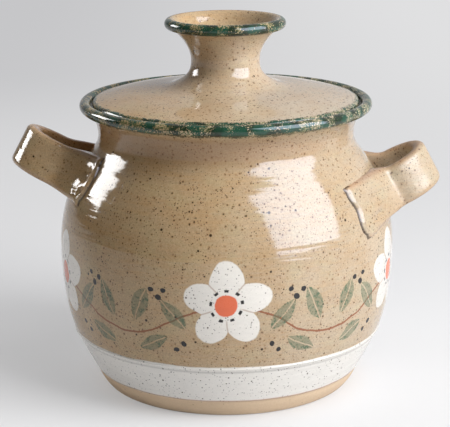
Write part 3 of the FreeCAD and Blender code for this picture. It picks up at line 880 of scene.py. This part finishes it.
def slip_glaze(r, c):
    """White slip under the glaze: a little uneven, in level strokes, with grey iron specks, and with painted
    light and shade: brighter towards the left and darker towards the right."""
    strokes = r.noise(4, 3.0, 0.65, r.stretched(0.4, 0.4, 3.0, 2.2))
    # Painted light and shade: up to 14 % brighter on the left and 22 % darker on the right.
    painted_side_shading = 1.0 + r.x.step(0.0, -70.0) * 0.14 - r.x.step(0.0, 80.0) * 0.22
    slip = r.shade(c.slip, (0.86 + strokes * 0.14 + r.noise(0.9, 2.0, 0.6) * 0.14) * painted_side_shading)
    iron = (r.specks(1.35, 0.46, 0.75, 0.15) * 0.7).high(r.specks(3.1, 0.65, 0.6, 0.55) * 0.95)
    return r.mix(iron, slip, c.speck_grey)


def garland(r, c, colour):
    """A painted garland round the belly: a brown stem that rises and falls in waves, white
    blossoms with five petals in its crests, and sponged leaves and black berries along it. It
    repeats five times round the pot, and a slow noise makes each repeat a little different."""
    repeats, belly = 5, 86.0
    waver_x = (r.noise(23, 2.0, 0.5, r.stretched(1, 1, 1, 3.1)) - 0.5) * 5.0
    waver_z = (r.noise(21, 2.0, 0.5, r.stretched(1, 1, 1, 4.7)) - 0.5) * 5.0
    turn = r.node("ShaderNodeMath", {"operation": "ARCTAN2"}, (r.x, -r.y))
    period = math.tau * belly / repeats
    along = turn * belly + waver_x
    u = r.node("ShaderNodeMath", {"operation": "PINGPONG"}, (along, period / 2))
    side = r.node("ShaderNodeMath", {"operation": "WRAP"}, (along, period / 2, -period / 2))
    v = r.z + waver_z - 62.0
    brush = (r.noise(0.8, 2.0, 0.6) - 0.5) * 0.5
    ragged = (r.noise(1.6, 3.0, 0.7) - 0.5) * 2.2

    wave = (side * (math.tau / period)).cos() * 9.0 - 6.0
    stem = 1.0 - (abs(v - wave) + brush).step(0.35, 0.75)
    colour = r.mix(stem * 0.85, colour, c.stem)
    for middle_u, middle_v, tilt, half_long, half_wide in GARLAND_LEAVES:
        mirrored = u if middle_u < 0 else side
        across = mirrored - abs(middle_u)
        rise = v - middle_v
        long_way = across * math.cos(tilt) + rise * math.sin(tilt)
        short_way = rise * math.cos(tilt) - across * math.sin(tilt)
        shape = abs(short_way) / half_wide + (long_way / half_long) ** 2
        leaf = 1.0 - (shape + ragged * 0.12).step(0.85, 1.0)
        vein = (abs(short_way) + brush).step(0.2, 0.5)
        pores = (r.noise(1.3, 3.0, 0.7) + r.noise(3.5, 2.0, 0.5) * 0.5).step(0.62, 0.75)
        colour = r.mix(leaf * vein * (0.92 - pores * 0.4), colour, c.leaf)
    for middle_u, middle_v, size in GARLAND_BERRIES:
        away = ((u - middle_u) ** 2.0 + (v - middle_v) ** 2.0) ** 0.5
        colour = r.mix(1.0 - (away + brush).step(size * 0.85, size), colour, c.berry)
    away = (side ** 2.0 + (v - 3.0) ** 2.0) ** 0.5
    around = r.node("ShaderNodeMath", {"operation": "ARCTAN2"}, (side, v - 3.0))
    petals = 13.5 + abs((around * 2.5).cos()) * 8.5
    blossom = 1.0 - (away - petals + ragged * 0.35).step(-0.5, 0.5)
    colour = r.mix(blossom * 0.94, colour, slip_glaze(r, c))
    groove = 1.0 - (abs((around * 2.5).cos()) * away + brush).step(0.5, 1.3)
    colour = r.mix(groove * blossom * away.step(6.5, 9.0) * 0.45, colour, c.halo_and_shade)
    heart = 1.0 - (away + ragged * 0.3).step(5.2, 5.9)
    colour = r.mix(heart * 0.95, colour, c.heart)
    stamens = ((around * 9.0).cos() * 0.5 + 0.5).step(0.55, 0.8)
    stamens = stamens * (1.0 - (abs(away - 7.8) + brush).step(0.5, 0.9))
    return r.mix(stamens, colour, c.berry)


# For each leaf its middle's u and v, its tilt, and half its length and width.
GARLAND_LEAVES = (
    (-27.0, -3.0, 0.9, 10.5, 4.6),
    (-38.0, -19.0, -0.5, 9.5, 4.2),
    (-44.0, 1.0, -1.15, 10.5, 4.6),
)
# For each berry its middle's u and v, and its radius.
GARLAND_BERRIES = (
    (34.0, 6.0, 1.7),
    (37.6, 9.6, 1.5),
    (31.5, 10.2, 1.4),
    (22.0, -18.0, 1.5),
    (26.0, -21.5, 1.4),
)


def handle_glaze(c):
    """Buff glaze that is browner on the strap's edges, with painted shade inside the left loop, and a dark
    seam round the pads' tips that is partly dark glaze at the joint and partly painted shade in the crevice.
    The strap is uneven from being pulled by hand. The right one is more uneven and less glossy."""
    r = Recipe(bpy.data.materials.new("handle_glaze"))
    colour, height = buff_glaze(r, c)
    thin, seam, inner = (
        r.node("ShaderNodeAttribute", {"attribute_name": mark}, {}, "Fac")
        for mark in ("thin", "seam", "inner")
    )
    # Painted shade inside the left loop, fading out towards the right.
    colour = r.mix(inner * (1.0 - r.x.step(0.0, 80.0)) * 0.4, colour, c.halo_and_shade)
    colour = r.mix(thin * (0.1 + r.noise(5, 2.0, 0.5) * 0.5), colour, c.burn)
    # The seam: dark glaze at the pad's joint with the wall, and painted shade in the crevice there.
    colour = r.mix(seam * 0.8, colour, c.speck)
    pulled = r.noise(10, 1.0, 0.5) * 0.7 + r.noise(3.2, 1.0, 0.5) * 0.08
    right = r.x.step(68.0, 90.0)
    pulled = pulled * (0.9 + right * 0.7)
    roughness = 0.1 + right * 0.28 + seam * 0.15
    return r.finish(colour, roughness, height + pulled)


def lid_glaze(c):
    """Buff glaze with a sponged green edge that frays towards the dome."""
    r = Recipe(bpy.data.materials.new("lid_glaze"))
    colour, height = buff_glaze(r, c)
    edge = radius_of(r).step(65.4, 68.2) * r.z.step(144.0, 147.0)
    colour, cover = sponge(r, c, colour, edge, 5.0)
    return r.finish(colour, GLAZE_ROUGHNESS + cover * 0.03, height)


def knob_glaze(c):
    """Buff glaze with sponged green round the outside of the lip."""
    r = Recipe(bpy.data.materials.new("knob_glaze"))
    colour, height = buff_glaze(r, c)
    lip = radius_of(r).step(27.4, 29.2) * r.z.step(184.6, 186.6)
    colour, cover = sponge(r, c, colour, lip * 1.1, 9.0)
    return r.finish(colour, GLAZE_ROUGHNESS + cover * 0.03, height)


# Operators ----------------------------------------------------------------------------------


class BEANPOT_OT_pot(bpy.types.Operator):
    """Turn the pot and glaze it"""

    bl_idname = "beanpot.pot"
    bl_label = "Thrown Pot"

    def execute(self, context):
        settings = context.scene.bean_pot
        p = in_mm(settings.pot)
        points, faces = turned_surface(pot_outline(p), settings.turns, p["rings"], 12.0, 142.0)
        glaze = pot_glaze(settings.colours)
        mesh_piece("glazed_pot", points, faces, POT_BODY, glaze, ["pot_body"])
        return {"FINISHED"}


class BEANPOT_OT_handles(bpy.types.Operator):
    """Bend the two strap handles and press them onto the shoulder"""

    bl_idname = "beanpot.handles"
    bl_label = "Strap Handles"

    def execute(self, context):
        settings = context.scene.bean_pot
        p, h = in_mm(settings.pot), in_mm(settings.handle)
        h["rise_angle"] = settings.handle.rise
        glaze = handle_glaze(settings.colours)
        for side, turn in (("left", math.pi), ("right", 0.0)):
            points, faces, marks = handle_surface(p, h, HANDLE_FEET[side], turn)
            name, nodes = f"strap_{side}", [f"handle_{side}"]
            mesh_piece(name, points, faces, POT_BODY, glaze, nodes, 60, marks)
        return {"FINISHED"}


class BEANPOT_OT_lid(bpy.types.Operator):
    """Turn the lid and glaze it"""

    bl_idname = "beanpot.lid"
    bl_label = "Lid"

    def execute(self, context):
        settings = context.scene.bean_pot
        profile = lid_outline(in_mm(settings.pot), in_mm(settings.lid))[::-1]
        points, faces = turned_surface(profile, settings.turns)
        glaze = lid_glaze(settings.colours)
        mesh_piece("glazed_lid", points, faces, LID_BODY, glaze, ["lid"])
        return {"FINISHED"}


# The steps round the knob, and the depth of its finger marks in millimetres.
KNOB_TURNS, KNOB_RINGS = 200, 0.1


class BEANPOT_OT_knob(bpy.types.Operator):
    """Turn the knob and glaze it"""

    bl_idname = "beanpot.knob"
    bl_label = "Knob"

    def execute(self, context):
        settings = context.scene.bean_pot
        profile = knob_outline(in_mm(settings.lid))
        points, faces = turned_surface(profile, KNOB_TURNS, KNOB_RINGS, 162.0, 186.0)
        glaze = knob_glaze(settings.colours)
        mesh_piece("glazed_knob", points, faces, LID_BODY, glaze, ["lid_knob"])
        return {"FINISHED"}


class BEANPOT_OT_stage(bpy.types.Operator):
    """Set up the floor, the soft boxes and the camera"""

    bl_idname = "beanpot.stage"
    bl_label = "Studio"

    def execute(self, context):
        colours = context.scene.bean_pot.colours
        stage_floor(colours)
        soft_box("window_right", 59, 30, 1.15, 0.8, 0.8, 20.6, glossy=False)
        soft_box("card_right", 56.5, 28, 1.15, 1.1, 1.12, 27.5, diffuse=False, colour=(0.88, 0.98, 1.2))
        soft_box("window_left", -108, 20, 1.1, 0.5, 0.4, 2.0, glossy=False)
        soft_box("card_left", -114, 20, 1.1, 0.42, 0.4, 6.6, diffuse=False)
        soft_box("skylight", 50, 64, 1.3, 0.7, 0.7, 4.6, glossy=False)
        world_light(context.scene)
        camera = bpy.data.objects.new("camera", bpy.data.cameras.new("camera"))
        context.scene.collection.objects.link(camera)
        camera.location = CAMERA_PLACE
        tipped = Matrix.Rotation(math.radians(90 - CAMERA_DOWN), 4, "X")
        rolled = Matrix.Rotation(math.radians(CAMERA_ROLL), 4, "Z")
        camera.rotation_euler = (tipped @ rolled).to_euler()
        camera.data.lens = CAMERA_LENS
        context.scene.camera = camera
        context.scene.view_settings.view_transform = "Standard"
        return {"FINISHED"}


# Where the camera stands in metres, how far it looks down and leans in degrees, and its lens in
# millimetres.
CAMERA_PLACE = (-0.0008, -0.8298, 0.3067)
CAMERA_DOWN = 14.765
CAMERA_ROLL = -0.43
CAMERA_LENS = 130.2


def stage_floor(c):
    """A wide plain floor, pale in front and on the right and greyer behind and on the left."""
    mesh = bpy.data.meshes.new("floor")
    mesh.from_pydata([(-4, -4, 0), (4, -4, 0), (4, 6, 0), (-4, 6, 0)], [], [(0, 1, 2, 3)])
    r = Recipe(bpy.data.materials.new("floor"))
    away = radius_of(r).step(280.0, 1000.0)
    side = (r.x / 300.0).step(-1.0, 1.0)
    glow = r.mix(away, c.floor_glow, r.mix(side, c.sweep_left, c.sweep_right))
    sweep = r.node("ShaderNodeEmission", {}, {"Color": glow, "Strength": 1.0})
    floor_shader = r.node("ShaderNodeBsdfPrincipled", {}, {"Base Color": c.floor, "Roughness": 0.6})
    camera, glossy, through = (
        r.node("ShaderNodeLightPath", {}, {}, f"Is {ray} Ray")
        for ray in ("Camera", "Glossy", "Transmission")
    )
    seen = camera.high(glossy).high(through)
    both = r.node("ShaderNodeMixShader", {}, {0: (0.35 + away * 0.65) * seen, 1: floor_shader, 2: sweep})
    r.node("ShaderNodeOutputMaterial", {}, {"Surface": both})
    mesh.materials.append(r.owner)
    floor = bpy.data.objects.new("floor", mesh)
    bpy.context.scene.collection.objects.link(floor)


def soft_box(
    name, azimuth, elevation, distance, width, height, power,
    diffuse=True, glossy=True, colour=(1, 1, 1),
):
    """A rectangular lamp that faces the pot, sized in metres and watts. Its azimuth is in degrees
    from the front, positive to the right. One without its diffuse light is a card that the glaze
    only mirrors, and one without its glossy light only lights."""
    lamp = bpy.data.lights.new(name, "AREA")
    lamp.shape = "RECTANGLE"
    lamp.size = width
    lamp.size_y = height
    lamp.energy = power
    lamp.color = colour
    a, e = math.radians(azimuth), math.radians(elevation)
    towards = Vector((math.sin(a) * math.cos(e), -math.cos(a) * math.cos(e), math.sin(e)))
    item = bpy.data.objects.new(name, lamp)
    bpy.context.scene.collection.objects.link(item)
    item.location = Vector((0, 0, 0.1)) + towards * distance
    item.rotation_euler = towards.to_track_quat("Z", "Y").to_euler()
    item.visible_camera = False
    item.visible_diffuse = diffuse
    item.visible_glossy = glossy


BACKDROP_LEFT, BACKDROP_RIGHT = (0.42, 0.42, 0.425, 1), (0.58, 0.58, 0.6, 1)
DARK_ROOM = (0.02, 0.02, 0.02, 1)


def world_light(scene):
    """A pale backdrop, which the camera sees all round. The pot meets it only from behind and
    from its right, and a dark room elsewhere."""
    scene.world = bpy.data.worlds.new("room")
    r = Recipe(scene.world, "Generated", 1.0)
    backdrop = r.mix(r.x.step(-0.6, 0.6), BACKDROP_LEFT, BACKDROP_RIGHT)
    behind = r.y.step(-0.35, 0.45) * r.x.step(-0.95, -0.25)
    seen = r.node("ShaderNodeLightPath", {}, {}, "Is Camera Ray")
    room = r.mix(behind.high(seen), DARK_ROOM, backdrop)
    background = r.node("ShaderNodeBackground", {}, {"Color": room, "Strength": 1.0})
    r.node("ShaderNodeOutputWorld", {}, {"Surface": background})


class BEANPOT_PT_panel(bpy.types.Panel):
    """The pot's pieces and its stage"""

    bl_idname = "BEANPOT_PT_panel"
    bl_label = "Bean Pot"
    bl_space_type = "VIEW_3D"
    bl_region_type = "UI"
    bl_category = "Bean Pot"

    def draw(self, context):
        for step in STEPS:
            self.layout.operator(step.bl_idname)
        settings = context.scene.bean_pot
        for group in (settings.pot, settings.lid, settings.handle, settings.colours):
            box = self.layout.box()
            for name in group.__annotations__:
                box.prop(group, name)


STEPS = (BEANPOT_OT_pot, BEANPOT_OT_handles, BEANPOT_OT_lid, BEANPOT_OT_knob, BEANPOT_OT_stage)
CLASSES = (PotSizes, LidSizes, HandleSizes, GlazeColours, BeanPotSettings, *STEPS, BEANPOT_PT_panel)


def register():
    for item in CLASSES:
        bpy.utils.register_class(item)
    bpy.types.Scene.bean_pot = PointerProperty(type=BeanPotSettings)


def unregister():
    del bpy.types.Scene.bean_pot
    for item in reversed(CLASSES):
        bpy.utils.unregister_class(item)


def main():
    register()
    for step in STEPS:
        group, name = step.bl_idname.split(".")
        getattr(getattr(bpy.ops, group), name)()


if __name__ == "__main__":
    main()
